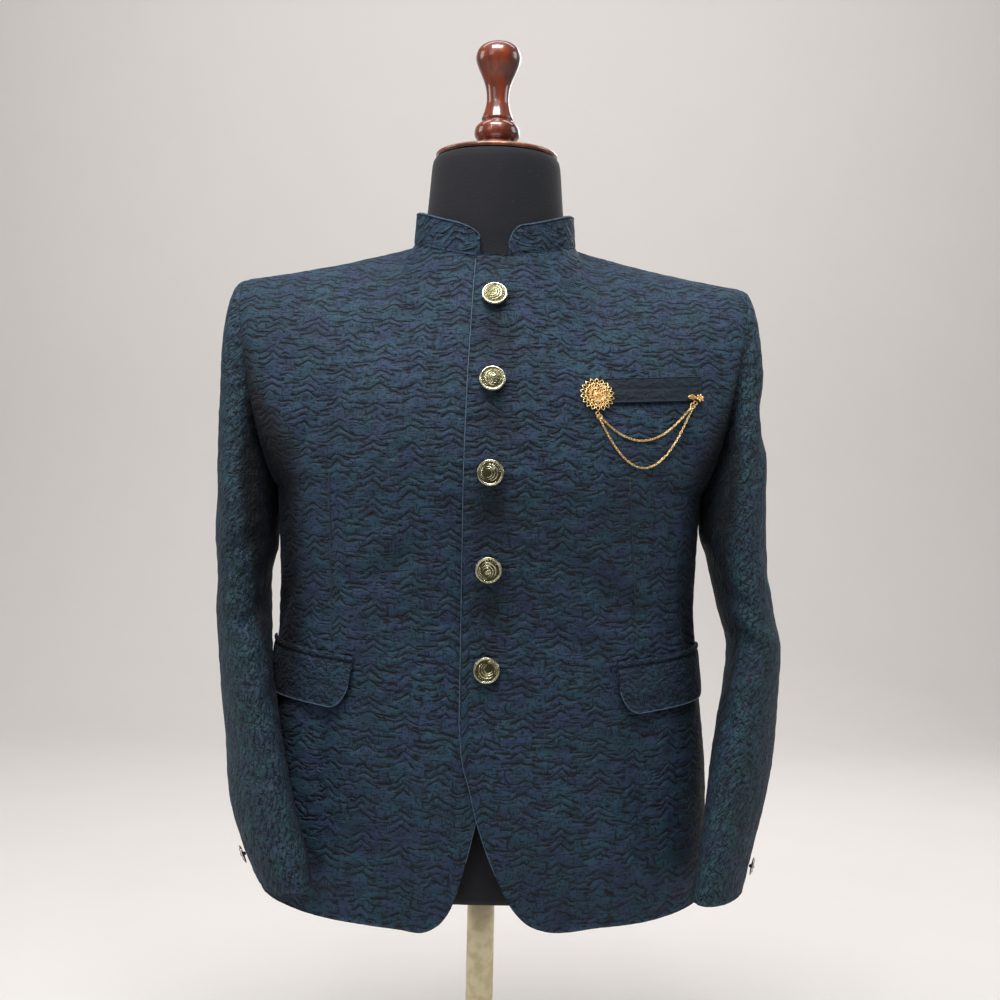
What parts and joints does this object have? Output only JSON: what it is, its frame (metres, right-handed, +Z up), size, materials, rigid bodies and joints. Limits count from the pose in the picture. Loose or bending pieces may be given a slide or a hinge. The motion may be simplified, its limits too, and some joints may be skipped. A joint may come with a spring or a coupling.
{
  "type": "bandhgala jacket on a limbless dress form with a stand",
  "caption": "Buttoned stand-collar bandhgala jacket of puckered teal jacquard, worn hollow over a limbless dress form with a turned finial, on a pole stand.",
  "frame": {"origin": "middle of the underside of the stand's base, on the surface that the stand rests on", "axes": "+Z up, -Y the jacket's front, +X the wearer's left"},
  "size_m": [0.5736, 0.3143, 1.1543],
  "materials": {
    "jacquard": "matte",
    "button_bronze": "aged",
    "button_steel": "polished",
    "gold": "polished",
    "form_cloth": "matte",
    "dark_wood": "varnished",
    "pole_metal": "satin",
    "base_paint": "satin"
  },
  "bodies": {
    "root": {"front_left": "jacquard", "front_right": "jacquard", "back_left": "jacquard", "back_right": "jacquard", "top_sleeve_left": "jacquard", "top_sleeve_right": "jacquard", "under_sleeve_left": "jacquard", "under_sleeve_right": "jacquard", "collar": "jacquard", "pocket_flap_left": "jacquard", "pocket_flap_right": "jacquard", "pocket_welt_left": "jacquard", "pocket_welt_right": "jacquard", "breast_welt": "jacquard", "front_button_1": "button_bronze", "front_button_2": "button_bronze", "front_button_3": "button_bronze", "front_button_4": "button_bronze", "front_button_5": "button_bronze", "cuff_button_left": "button_steel", "cuff_button_right": "button_steel", "brooch": "gold", "leaf_pin": "gold", "brooch_chain_upper": "gold", "brooch_chain_lower": "gold", "form_body": "form_cloth", "neck_cap": "dark_wood", "finial": "dark_wood", "stand_pole": "pole_metal", "stand_base": "base_paint"}
  },
  "joints": []
}
